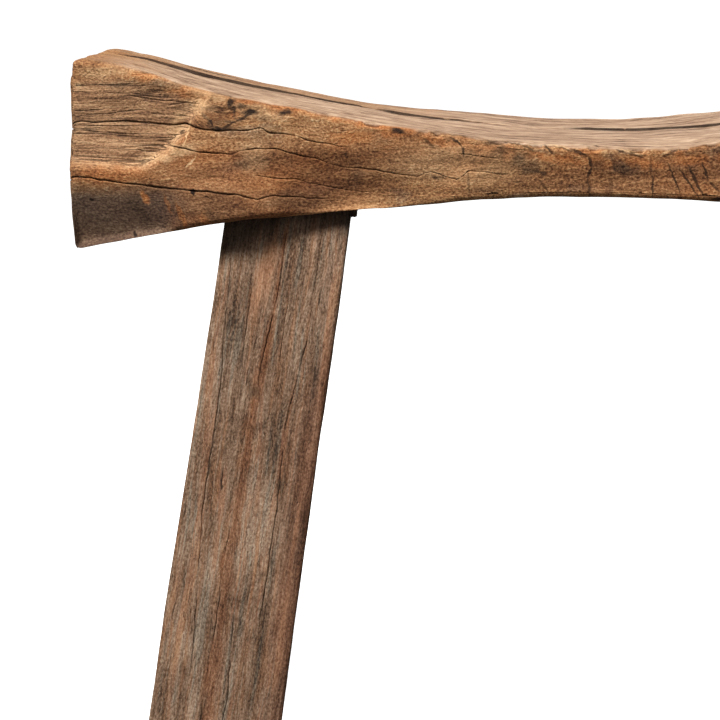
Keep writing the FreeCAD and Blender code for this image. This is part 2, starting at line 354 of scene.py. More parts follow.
# Marks on the seat's front: place along, height, half width, half height, strength, slope
frontMarks = {
    "dark": [
        (-221, 452.5, 7, 4.5, 0.55, 0), (-213.8, 460.6, 2.2, 3.4, 1, 0.5), (-212, 455, 1.6, 2.6, 0.9, -0.6),
        (-216, 466, 3.4, 1.8, 0.8, -1), (-201.8, 455.3, 4, 1.7, 1, 0.8), (-206.5, 459, 2.4, 0.9, 0.8, -0.8),
        (-210, 450.5, 7, 1.1, 1, -2.2), (-220, 445.5, 8, 1.2, 1, 1.2), (-227, 450, 1.3, 5, 0.8, -0.6),
        (-221, 457.5, 7, 0.9, 0.7, 1.6), (-181, 455, 4.4, 1.7, 0.9, 0), (-115, 443.5, 5, 1.8, 0.9, 0),
        (-37, 421, 6, 4, 0.7, 0), (-43, 426, 6, 5, 0.6, 0), (-33, 418.5, 3, 2.2, 0.85, 0),
        (-147, 429.5, 1.8, 1.6, 0.85, 0), (-91, 416, 3.4, 2, 0.75, 0), (-62, 408, 10, 1.8, 0.5, 0),
        (-270, 471, 22, 3, 0.34, 0), (-257, 468, 5, 1.6, 0.5, 0), (5, 424, 6, 4, 0.65, 0),
        (20, 422, 7, 5, 0.7, 0), (79, 401, 4, 2.2, 1, 0), (45, 402, 2.4, 1.2, 0.9, 0),
        (-226, 401, 26, 9, 0.42, 0), (-178, 402, 24, 7, 0.42, 0), (-140, 420, 3.5, 8, 0.3, 0),
        (-208, 424, 4, 2.4, 0.5, 0), (-60, 437, 6, 2.5, 0.6, 0), (-53, 432, 4, 3.5, 0.6, 0),
        (-244, 396, 3, 12, 0.45, 0), (-226, 396, 4, 7, 0.6, -0.4), (-269, 397, 4, 9, 0.5, -0.5),
        (-196, 452, 5, 2.2, 0.45, -1), (-190, 447, 6, 1.4, 0.4, -2), (-160, 452, 5, 1.6, 0.45, 0),
    ],
    "amber": [
        (-229, 392, 4, 3.5, 0.9, -0.8), (-180, 456.5, 14, 3.2, 1, 0), (-205, 462, 12, 2.6, 0.8, -3),
        (-150, 452, 18, 3, 0.8, -4), (-128, 447.5, 14, 3, 1, -3), (-116, 444.5, 11, 5, 1, 0),
        (-143, 440, 12, 4, 0.8, 0), (-92, 437.5, 9, 3.4, 1, -2), (-66, 433.5, 11, 3, 1, -3),
        (-50, 431, 3.4, 5, 0.8, 0), (-22, 427.5, 14, 3.6, 1, -4), (-262, 476, 20, 2.6, 0.8, 0),
        (-236, 467, 14, 2.6, 0.8, 0), (6, 425, 8, 4, 1, -1), (30, 425, 11, 4, 0.9, -2),
        (58, 426.5, 13, 4, 0.9, 0), (84, 428, 12, 4, 0.9, 0), (-285, 418, 24, 4.5, 0.7, 0),
        (-232, 430, 18, 6, 0.45, 0), (-190, 415, 20, 8, 0.4, 0),
    ],
    "russet": [
        (-205, 412, 80, 26, 0.9, 0), (-150, 430, 70, 16, 0.5, 0), (-245, 396, 26, 16, 0.9, 0),
        (60, 415, 90, 16, 0.5, 0),
    ],
    # pale wood in patches, with painted highlight along the hollow's ridge and on its brow
    "pale": [
        (-232, 458, 8, 5, 0.75, 0), (-242, 434, 8, 4, 0.8, 1.2), (-258, 427.5, 11, 3.2, 0.75, 2.2),
        (-245, 447, 5, 9, 0.7, 0.3), (-303, 470.5, 2, 1.4, 1, 0), (-200, 430, 8, 12, 0.35, 0),
        (-78, 424, 42, 12, 0.35, 0), (-225, 466, 12, 3.5, 0.6, -2), (-195, 455, 12, 5, 0.4, -2),
        (-288, 478, 14, 3, 0.5, 0),
    ],
}


def saddleLine(x):
    arc = seat["saddleLow"] + arcRise(seat["brow"], seat["rise"], x)
    line = softMin(arc, np.full_like(x, seat["saddleLow"] + seat["rise"]), seat["browBlend"])
    over = np.clip(np.abs(x) - (halfLength - seat["corner"]), 0, seat["corner"])
    return line - (seat["corner"] - np.sqrt(seat["corner"] ** 2 - over**2)) * seat["cornerShare"]


def undersideLine(x):
    return seat["saddleLow"] - seat["thickness"] - arcRise(halfLength - seat["endBulge"], seat["drop"], x)


def halfDepth(x):
    return seat["middleDepth"] / 2 + arcRise(halfLength, (seat["endDepth"] - seat["middleDepth"]) / 2, x)


def checkSeat(points, half, i, j, k, cells):
    # the drying checks of every face; gives back how dark each point is, as painted shade in the checks
    floors = rowPlan(seat["frontChecks"], seat["frontGap"])[0]
    inDepth = (j > 0) & (j < cells[1])
    inHeight = (k > 0) & (k < cells[2])
    crack = np.zeros(len(points))
    cutChecks(points, crack, (j == 0) & inHeight, k, points[:, 0], seat["frontChecks"], seat["frontGap"],
              np.array([0, 1, 0]), 0.3, seat["frontBroken"])
    cutChecks(points, crack, (k == cells[2]) & inDepth, j, points[:, 0], seat["topChecks"], seat["topGap"],
              np.array([0, 0, -1]), 1.0, 0.0)
    # some of the front's checks open again on the back and on the right end
    stretch, steepness, deepest = seat["backCheck"]
    onBack = (j == cells[1]) & inHeight
    onRight = (i == cells[0]) & inDepth
    for floor in floors:
        for side, travel, push in ((onBack, points[:, 0], (0, -1, 0)), (onRight, points[:, 1], (-1, 0, 0))):
            chosen = side & (k == floor)
            depth = np.clip(jitter(travel[chosen], floor + 5, stretch) * steepness, 0, deepest)
            points[chosen] += depth[:, None] * np.array(push)
            crack[chosen] = smooth(0.0, drying["darkDepth"], depth)
    # they also run on across the left end face and die out a little past its middle
    for floor, check in zip(floors, seat["frontChecks"]):
        chosen = (i == 0) & (j > 0) & (k == floor)
        across = points[chosen, 1] + half[chosen]
        depth = check[0][3] * np.clip(1 - across / seat["endCheckReach"], 0, 1)
        points[chosen, 0] += depth
        crack[chosen] = smooth(0.0, drying["darkDepth"], depth)
    return crack


def hewFront(points, faceFront, half):
    # a hollow scarf at the left end, a swelling beside it, and the lower corner turned under
    px, py, pz = points.T.copy()
    hollow = smooth(0, seat["ridgeWidth"], pz - follow(seat["hollowRidge"], px))
    nearFront = np.clip(1 - (py + half - seat["arris"]) / seat["hollowReach"], 0, 1) ** 2
    points[:, 1] += nearFront * hollow * (seat["hollowDepth"] - seat["hollowShoaling"] * smooth(432, 470, pz))
    bump, turned = seat["swelling"], seat["turnedUnder"]
    swelling = bump["height"] * blob(px, pz, bump["place"], bump["size"])
    lowness = np.clip((turned["below"] - pz) / turned["reach"], 0, 1) ** 1.2
    under = turned["depth"] * (smooth(turned["from"], turned["to"], px) * lowness)
    belly = follow(seat["belly"], px) * smooth(*seat["bellyHeights"], pz)
    points[:, 1] += faceFront * (under - swelling - belly)
    return hollow


def markFront(points, px, pz, faceFront):
    # every mark is a soft patch with an uneven edge
    raggedX = px + wobble(points, (5, 5, 4), 61.0) * 2.4
    raggedZ = pz + wobble(points, (6, 5, 4), 71.0) * 1.6
    onFront = smooth(0.1, 0.5, faceFront)
    marks = {}
    for kind, spots in frontMarks.items():
        marks[kind] = np.zeros(len(points))
        for x, z, wide, tall, strength, slope in spots:
            spot = patch(raggedX - slope * (raggedZ - z), raggedZ, (x, z), (wide, tall))
            marks[kind] = np.maximum(marks[kind], strength * spot * onFront)
    return marks


def bleachTop(points, px, faceTop, depthShare):
    # bare, bleached wood wherever the seat faces up, less so on the strip behind the long check
    facing = faceTop + lumpy(points, [((26, 9, 9), 7.7, 0.14), ((7, 5, 5), 17.7, 0.16)])
    bleach = smooth(0.35, 0.8, facing) * smooth(-306, -245, px + wobble(points, (20, 9, 9), 2.7) * 14)
    behind = smooth(-0.01, 0.01, depthShare - follow(seat["topChecks"][1], px))
    return bleach * (1 - 0.55 * smooth(-300, -270, px) * smooth(-60, -120, px) * behind)


def makeSeat():
    band = seat["endBand"]
    anchors = [-halfLength, -halfLength + band, *seat["stations"], halfLength - band, halfLength]
    columns = spaced(anchors, seat["cells"])
    heightCells = rowPlan(seat["frontChecks"], seat["frontGap"])[1]
    depthCells = rowPlan(seat["topChecks"], seat["topGap"])[1]
    cells = (len(columns) - 1, depthCells, heightCells)
    bm, cube, (i, j, k) = gridBox(cells)

    # the sharp outline: arcs, hewn a little uneven
    x = columns[i]
    half = halfDepth(x)
    frontShare = 0.5 - cube[:, 1] / 2
    lift = follow(seat["frontLift"], x) * frontShare + follow(seat["backLift"], x) * (1 - frontShare)
    top = saddleLine(x) + lift
    low = undersideLine(x) + follow(seat["underLift"], x)
    z = rowPlaces(k, x, seat["frontChecks"], seat["frontGap"], low, top, seat["arris"])
    y = rowPlaces(j, x, seat["topChecks"], seat["topGap"], -half, half, seat["arris"])
    depthShare = (y + half) / (2 * half)
    before = depthShare < follow(seat["topChecks"][1], x) + 0.005
    sunk = smooth(*seat["stepShares"], depthShare) * follow(seat["topStep"], x)
    z -= before * sunk * smooth(0.9, 1.0, cube[:, 2])
    endX = halfLength - follow(seat["endLean"], z)
    leftX = endX + seat["endSkew"] * smooth(0.1, 0.95, depthShare)
    x = np.where(i == 0, -leftX, np.clip(x, -leftX, endX))
    sharp = np.stack([x, y, z], axis=1)
    high = np.stack([endX, half, np.where(k == heightCells, z, top)], axis=1)
    points, normals = rollArris(sharp, np.stack([-leftX, -half, low], axis=1), high, seat["arris"])

    crack = checkSeat(points, half, i, j, k, cells)
    px, pz = points[:, 0].copy(), points[:, 2].copy()
    faceFront = np.clip(-normals[:, 1], 0, 1) ** 2
    faceTop = np.clip(normals[:, 2], 0, 1) ** 2
    hollow = hewFront(points, faceFront, half)
    marks = markFront(points, px, pz, faceFront)
    points += normals * (lumpy(points, seat["lumps"]) * (1 - crack))[:, None]

    # chips along the worn front arris
    slanting = np.clip(1 - np.abs(normals[:, 2] + normals[:, 1]) * 1.2, 0, 1)
    frontArris = slanting * (normals[:, 1] < -0.1) * (normals[:, 2] > 0.1)
    chips = np.clip(lumpy(points, seat["chips"]) - 0.15, 0, 1) * smooth(*seat["worn"], px) * frontArris
    points -= normals * (chips * seat["chipDepth"])[:, None]

    attributes = {
        **marks,
        "crack": crack,
        "bleach": bleachTop(points, px, faceTop, depthShare),
        "weather": hollow * faceFront * smooth(-2, 7, follow(seat["hollowBrow"], px) - pz),
        # painted shade: the lower left end, where the front turns under, is darkened towards the bottom
        "grime": smooth(-232, -258, px) * smooth(416, 404, pz) * (1 - faceTop),
        "wear": np.clip(smooth(24, 3, top - pz) * smooth(*seat["worn"], px) * (faceFront + frontArris), 0, 1),
        "endGrain": normals[:, 0] ** 2,
        "front": smooth(0.05, 0.4, faceFront + frontArris),
    }
    # the grain parts and flows round the knot
    fibre = points.copy()
    knot = seat["knot"]
    around = blob(px, pz, knot["place"], knot["size"]) * faceFront
    fibre[:, 2] -= knot["bend"] * around * np.sign(pz - knot["place"][1])
    return finishPiece(bm, "hewn_seat", points, attributes, fibre, "seat_beam")


# Legs. Places on a leg are distances down from its shoulder and shares of its width
leg = {
    "inset": 130.0,
    "width": 74.5,
    "thickness": 46.0,
    "widthGrowth": 0.018,
    "thicknessGrowth": 0.010,
    "splayAlong": 8.6,
    "splayAcross": 10.5,
    "setback": 12.0,
    "housing": 6.0,
    "arris": 2.2,
    "cell": 2.8,
    "faceGap": 6,
    "sideGap": 7,
    "broken": 1.05,
    "sideChecks": 2,  # how many are drawn for each narrow side
    "hiddenChecks": 5,  # and for each wide side of the two hidden legs
    "drawnLength": 400,
    "lumps": [((30, 30, 110), 0.0, 0.7), ((5, 5, 50), 5.5, 0.25), ((1.6, 1.6, 16), 9.1, 0.12)],
    # a check is a list of (distance down, share, width, depth)
    "frontChecks": [
        [(-6, 0.08, 0.3, 0), (30, 0.09, 0.3, 0), (36, 0.092, 0.52, 2), (120, 0.166, 0.68, 3),
        (190, 0.172, 0.75, 3), (268, 0.25, 0.6, 2), (300, 0.27, 0.3, 0), (400, 0.25, 0.3, 0)],
        [(-6, 0.29, 0.3, 0), (52, 0.295, 0.3, 0), (58, 0.296, 0.45, 2), (98, 0.304, 0.45, 2),
        (104, 0.32, 0.3, 0), (130, 0.41, 0.3, 0), (135, 0.415, 0.6, 2), (182, 0.429, 0.6, 2),
        (196, 0.415, 0.5, 1.6), (215, 0.392, 0.5, 1.6), (257, 0.405, 0.6, 2), (279, 0.393, 0.6, 2),
        (320, 0.39, 0.75, 3), (345, 0.38, 0.3, 0), (400, 0.38, 0.3, 0)],
        [(-6, 0.5, 0.3, 0), (10, 0.505, 0.45, 2), (54, 0.512, 0.75, 3), (84, 0.474, 0.75, 3),
        (107, 0.45, 0.45, 2), (112, 0.46, 0.3, 0), (240, 0.53, 0.3, 0), (247, 0.53, 0.6, 2),
        (303, 0.569, 0.83, 3), (380, 0.56, 0.6, 2), (400, 0.56, 0.3, 0)],
        [(-6, 0.6, 0.3, 0), (60, 0.6, 0.3, 0), (64, 0.595, 0.6, 2), (98, 0.598, 0.52, 2), (103, 0.6, 0.3, 0),
        (400, 0.68, 0.3, 0)],
        [(-6, 0.8, 0.3, 0), (15, 0.79, 0.38, 1), (50, 0.8, 0.83, 3), (79, 0.79, 0.83, 4),
        (133, 0.717, 0.75, 3), (185, 0.744, 0.83, 3), (242, 0.735, 0.68, 3), (262, 0.74, 0.3, 0),
        (400, 0.76, 0.3, 0)],
    ],
    # a rust-brown seam runs down the front leg: (distance down, share, half width)
    "seam": [(40, 0.5, 0.5), (70, 0.5, 1.6), (86, 0.475, 2.2), (105, 0.455, 3.4), (132, 0.455, 3.2),
        (154, 0.445, 2.4), (170, 0.44, 2.6), (196, 0.445, 3.6), (215, 0.43, 4.2), (232, 0.425, 4),
        (257, 0.43, 3), (276, 0.43, 4.4), (303, 0.45, 4.4), (400, 0.46, 3)],
    # small dark knots on it: (distance down, share, half length, half width)
    "knots": [(116, 0.425, 4.5, 1.8), (137, 0.43, 1, 5), (170, 0.745, 4.5, 2.4), (226, 0.705, 2.4, 2.2)],
    "knotHalfWidth": 39.0,  # half the leg's width at the knots
    # where a hand has rubbed it bright, under the seat: place across, distance down, half width, half length
    "rubbed": (-9, 48, 6.5, 26),
    "rubbedLean": 0.16,
}


def drawnChecks(seed, count, length):
    # checks for a face that isn't drawn by hand: each opens, wanders a little and closes
    draw = np.random.default_rng(seed)
    checks = []
    for n in range(count):
        share = (n + 0.5 + draw.uniform(-0.2, 0.2)) / count
        start = draw.uniform(0.0, 0.55) * length
        end = start + draw.uniform(0.15, 0.4) * length
        width, depth = draw.uniform(0.5, 1.1), draw.uniform(1, 3)
        bend = draw.uniform(-0.03, 0.03)
        checks.append([
            (-6, share, 0.3, 0),
            (start, share, 0.3, 0),
            (start + 15, share + bend * 0.4, width, depth),
            ((start + end) / 2, share + bend, width, depth),
            (end, share + bend * 0.3, width * 0.6, depth * 0.6),
            (end + 12, share, 0.3, 0),
            (length + 20, share, 0.3, 0),
        ])
    return checks


def legStand(side, across):
    # where a leg's centre line meets the underside, and how the leg is turned
    legX = halfLength - leg["inset"]
    pairY = float(halfDepth(np.array([legX]))[0]) - leg["setback"] - leg["thickness"] / 2
    base = Vector((side * legX, across * pairY, float(undersideLine(np.array([legX]))[0])))
    along = math.tan(math.radians(leg["splayAlong"]))
    out = math.tan(math.radians(leg["splayAcross"]))
    upwards = Vector((-side * along, -across * out, 1))
    return base, np.array(Vector((0, 0, 1)).rotation_difference(upwards).to_matrix())


def legMarks(local, down, halfWide, normals, inView):
    # only the leg in view has the painted shadow of the seat on its top, the rubbed patch, the seam and the
    # knots
    shown = (normals[:, 1] < -0.5) * inView
    # painted shadow: the seat's shadow on the front leg's top, deepest at its upper left
    shadow = smooth(11, -9, down + 0.75 * np.minimum(local[:, 0], 0) - 12) * (normals[:, 1] < -0.3) * inView
    place, depth, wide, tall = leg["rubbed"]
    rubbedX = local[:, 0] + leg["rubbedLean"] * (down - depth) - wobble(local, (4, 4, 9), 3.3) * 2
    rubbedDown = down + wobble(local, (5, 5, 9), 8.3) * 6
    ragged = local[:, 0] + wobble(local, (3, 4, 14), 21.3) * 1.6
    seamX = (follow(leg["seam"], down) * 2 - 1) * halfWide
    knots = [
        patch(ragged, down, ((share * 2 - 1) * leg["knotHalfWidth"], at), (breadth, reach))
        for at, share, reach, breadth in leg["knots"]
    ]
    redSide = local[:, 0] / halfWide + wobble(local, (8, 8, 60), 4.4) * 0.2
    return {
        # painted shade: every leg is darkened just under the seat, where the seat shades it
        "shaded": np.maximum(smooth(7, 0, down), shadow),
        "rubbed": patch(rubbedX, rubbedDown, (place, depth), (wide, tall)) * shown,
        "heart": smooth(0.45, 0.95, redSide) * smooth(10, 120, down) * 0.8,
        "seam": smooth(1.35, 0.55, np.abs(ragged - seamX) / follow(leg["seam"], down, 2)) * shown,
        "knot": np.max(knots, axis=0) * shown,
    }


def makeLeg(name, side, across, faceChecks, seed):
    base, turn = legStand(side, across)
    length = base.z / turn[2, 2]
    sideChecks = drawnChecks(seed, leg["sideChecks"], length)
    widthCells = rowPlan(faceChecks, leg["faceGap"])[1]
    thickCells = rowPlan(sideChecks, leg["sideGap"])[1]
    bm, cube, (i, j, k) = gridBox((widthCells, thickCells, round(length / leg["cell"])))
    share = (1 - cube[:, 2]) / 2
    down = share * (length + leg["housing"]) - leg["housing"]
    # the foot is level, so a fibre's length depends on its place in the section, which grows with that length
    for _ in range(3):
        halfWide = (leg["width"] + leg["widthGrowth"] * down) / 2
        halfThick = (leg["thickness"] + leg["thicknessGrowth"] * down) / 2
        a = rowPlaces(i, down, faceChecks, leg["faceGap"], -halfWide, halfWide, leg["arris"])
        b = rowPlaces(j, down, sideChecks, leg["sideGap"], -halfThick, halfThick, leg["arris"])
        floor = (base.z + turn[2, 0] * a + turn[2, 1] * b) / turn[2, 2]
        down = share * (floor + leg["housing"]) - leg["housing"]
    sharp = np.stack([a, b, -down], axis=1)
    low = np.stack([-halfWide, -halfThick, -floor], axis=1)
    high = np.stack([halfWide, halfThick, np.full_like(a, leg["housing"])], axis=1)
    points, normals = rollArris(sharp, low, high, leg["arris"])

    inWidth = (i > 0) & (i < widthCells)
    inThick = (j > 0) & (j < thickCells)
    crack = np.zeros(len(points))
    for face, checks, index, gap, inward in (
        ((j == 0) & inWidth, faceChecks, i, leg["faceGap"], (0, 1, 0)),
        ((j == thickCells) & inWidth, faceChecks, i, leg["faceGap"], (0, -1, 0)),
        ((i == 0) & inThick, sideChecks, j, leg["sideGap"], (1, 0, 0)),
        ((i == widthCells) & inThick, sideChecks, j, leg["sideGap"], (-1, 0, 0)),
    ):
        cutChecks(points, crack, face, index, down, checks, gap, np.array(inward), 0.3, leg["broken"])
    ends = smooth(0.5, 1.0, np.abs(normals[:, 2]))
    layers = [(sizes, seed + more, height) for sizes, more, height in leg["lumps"]]
    points += normals * (lumpy(points, layers) * (1 - crack) * (1 - ends))[:, None]

    fibre = np.stack([-points[:, 2], points[:, 0], points[:, 1]], axis=1)
    attributes = {"crack": crack, **legMarks(points, down, halfWide, normals, name == "front_leg")}
    points = points @ turn.T + np.array(base)
    points[:, 2] = np.maximum(points[:, 2], 0.0)
    # every leg is cut from another place in the timber
    return finishPiece(bm, name + "_hewn", points, attributes, fibre + seed * 37.0, name)


# Sliver: a torn scrap of packing wood squeezed out beside the front leg
sliver = {
    "low": (-144.6, -66.5, 389.6),
    "high": (-139.4, -53.5, 403.2),
    "cells": (8, 14, 16),
    "swing": 1.2,  # how far the torn end strays along the seat
    "lean": 1.0,
    "twist": 1.4,
    "tear": 2.6,  # how uneven its lower edge is
    "taper": 0.35,
    # painted shade: the whole sliver is darkened, as it sits in the seat's shadow
    "shade": 0.7,
}


def makeSliver():
    bm, cube, _ = gridBox(sliver["cells"])
    low, high = np.array(sliver["low"]), np.array(sliver["high"])
    points = low + (cube + 1) / 2 * (high - low)
    below = 1 - (cube[:, 2] + 1) / 2
    torn = wobble(points, (2.2, 2.6, 3.0), 5.2)
    points[:, 0] += below * (torn * sliver["swing"] + sliver["lean"])
    points[:, 1] += below * wobble(points, (3, 2, 4), 8.4) * sliver["twist"]
    points[:, 2] += below * np.abs(wobble(points, (1.3, 1.6, 20), 15.0)) * sliver["tear"]
    middle = (low + high) / 2
    points[:, :2] += (middle[:2] - points[:, :2]) * (below * sliver["taper"])[:, None]
    fibre = np.stack([points[:, 2], points[:, 0], points[:, 1]], axis=1)
    attributes = {
        "crack": smooth(0.4, 1.0, np.abs(torn)) * 0.6,
        "shaded": np.full(len(points), sliver["shade"]),
        **{mark: np.zeros(len(points)) for mark in ("rubbed", "heart", "seam", "knot")},
    }
    return finishPiece(bm, "torn_sliver", points, attributes, fibre, "packing_sliver")


# Materials
times, largest, minus = ({"operation": word} for word in ("MULTIPLY", "MAXIMUM", "SUBTRACT"))
scaleAndAdd = {"operation": "MULTIPLY_ADD"}
eased = {"interpolation_type": "SMOOTHSTEP"}


def linear(hexColour):
    channels = [int(hexColour[n : n + 2], 16) / 255 for n in (1, 3, 5)]
    return tuple(c / 12.92 if c <= 0.04045 else ((c + 0.055) / 1.055) ** 2.4 for c in channels) + (1.0,)


def addNode(tree, kind, settings, inputs, output=0):
    # adds one node, sets or links its inputs, and gives back the output that is wanted; a material's own add
    # is this function with its tree filled in
    node = tree.nodes.new("ShaderNode" + kind)
    for name, value in settings.items():
        if name == "stops":
            while len(node.color_ramp.elements) < len(value):
                node.color_ramp.elements.new(0.5)
            for element, (place, colour) in zip(node.color_ramp.elements, value):
                element.position = place
                element.color = linear(colour)
        else:
            setattr(node, name, value)
    for key, value in inputs.items():
        if isinstance(value, bpy.types.NodeSocket):
            tree.links.new(value, node.inputs[key])
        else:
            node.inputs[key].default_value = value
    return node.outputs[output]


def newMaterial(name, settings):
    material = bpy.data.materials.new(name)
    material.use_nodes = True
    shader = material.node_tree.nodes["Principled BSDF"]
    for key, value in settings.items():
        shader.inputs[key].default_value = value
    say("material " + name)
    return material, shader, partial(addNode, material.node_tree)


def plug(value, shader, name):
    shader.id_data.links.new(value, shader.inputs[name])


def markNodes(add, names):
    return {name: add("Attribute", {"attribute_name": name}, {}, "Fac") for name in names}


def grainNoise(add, coords, along, across, detail=3.0, rough=0.55, place=0.0):
    # noise whose streaks are that many millimetres long and wide
    scale = (1 / (along * mm), 1 / (across * mm), 1 / (across * mm))
    moved = add("Mapping", {}, {"Vector": coords, "Scale": scale, "Location": (place,) * 3})
    inputs = {"Vector": moved, "Scale": 1.0, "Detail": detail, "Roughness": rough}
    return add("TexNoise", {}, inputs)


def strayed(add, coords, size, reach, detail):
    # coordinates pushed about by up to half the reach, in lumps of that size
    inputs = {"Vector": coords, "Scale": 1 / (size * mm), "Detail": detail}
    drift = add("TexNoise", {}, inputs, "Color")
    centred = add("VectorMath", minus, {0: drift, 1: (0.5,) * 3})
    return add("VectorMath", scaleAndAdd, {0: centred, 1: (reach * mm,) * 3, 2: coords})


def grainCoords(add, size, reach):
    # the grain's own coordinates, strayed so that no line runs dead straight
    fibre = add("Attribute", {"attribute_name": "fibre"}, {}, "Vector")
    return strayed(add, fibre, size, reach, 2.0)


def weigh(add, *parts):
    # several noises summed about the middle, each with its own weight
    total = 0.5
    for value, weight in parts:
        centred = add("Math", minus, {0: value, 1: 0.5})
        total = add("Math", scaleAndAdd, {0: centred, 1: weight, 2: total})
    return total


def layOver(add, base, cover, most, tone, stops):
    # a second colouring of the same grain, laid over the first where the cover is high
    share = add("Math", times, {0: cover, 1: most})
    colour = add("ValToRGB", {"stops": stops}, {"Fac": tone})
    return add("Mix", {"data_type": "RGBA"}, {0: share, 6: base, 7: colour}, 2)


def hairChecks(add, coords, along, across, width, cover, place):
    # thin dark lines along the grain: where a stretched noise crosses its middle, broken up by a second noise
    value = grainNoise(add, coords, along, across, 2.0, 0.5, place)
    centred = add("Math", minus, {0: value, 1: 0.5})
    away = add("Math", {"operation": "ABSOLUTE"}, {0: centred})
    line = add("MapRange", eased, {"Value": away, "From Max": width, "To Min": 1.0, "To Max": 0.0})
    gaps = grainNoise(add, coords, along * 0.5, across * 2.5, 2.0, 0.5, place + 7)
    inputs = {"Value": gaps, "From Min": 0.96 - cover, "From Max": 1.04 - cover}
    whole = add("MapRange", eased, inputs)
    return add("Math", times, {0: line, 1: whole})


def strokes(add, rows):
    # strokes, listed one by one, crisp whatever the mesh: each is a stretched spot, tilted, with an uneven
    # edge
    place = add("TexCoord", {}, {}, "Object")
    moved = strayed(add, place, 3, 3, 3.0)
    total = 0.0
    for x, z, reach, breadth, lean, strength in rows:
        spot = add("Mapping", {"vector_type": "TEXTURE"}, {
            "Vector": moved, "Location": (x * mm, seatLow[1], z * mm), "Rotation": (0, math.radians(lean), 0),
            "Scale": (breadth * mm, 1.0, reach * mm)})
        away = add("VectorMath", {"operation": "LENGTH"}, {0: spot}, "Value")
        mark = add("MapRange", eased, {
            "Value": away, "From Min": 1.25, "From Max": 0.55, "To Max": strength})
        total = add("Math", largest, {0: total, 1: mark})
    return add("Math", times, {0: total, 1: markNodes(add, ["front"])["front"]})


def finishElm(add, shader, base, tone, checks, crackColour):
    # checks are cut into the colour as painted shade and, with the grain, into the surface
    base = layOver(add, base, checks, 0.88, tone, [(0.0, crackColour), (1.0, crackColour)])
    plug(base, shader, "Base Color")
    height = weigh(add, (tone, 0.6), (checks, -0.5))
    bump = add("Bump", {}, {"Height": height, "Strength": 0.9, "Distance": 1.2 * mm})
    plug(bump, shader, "Normal")


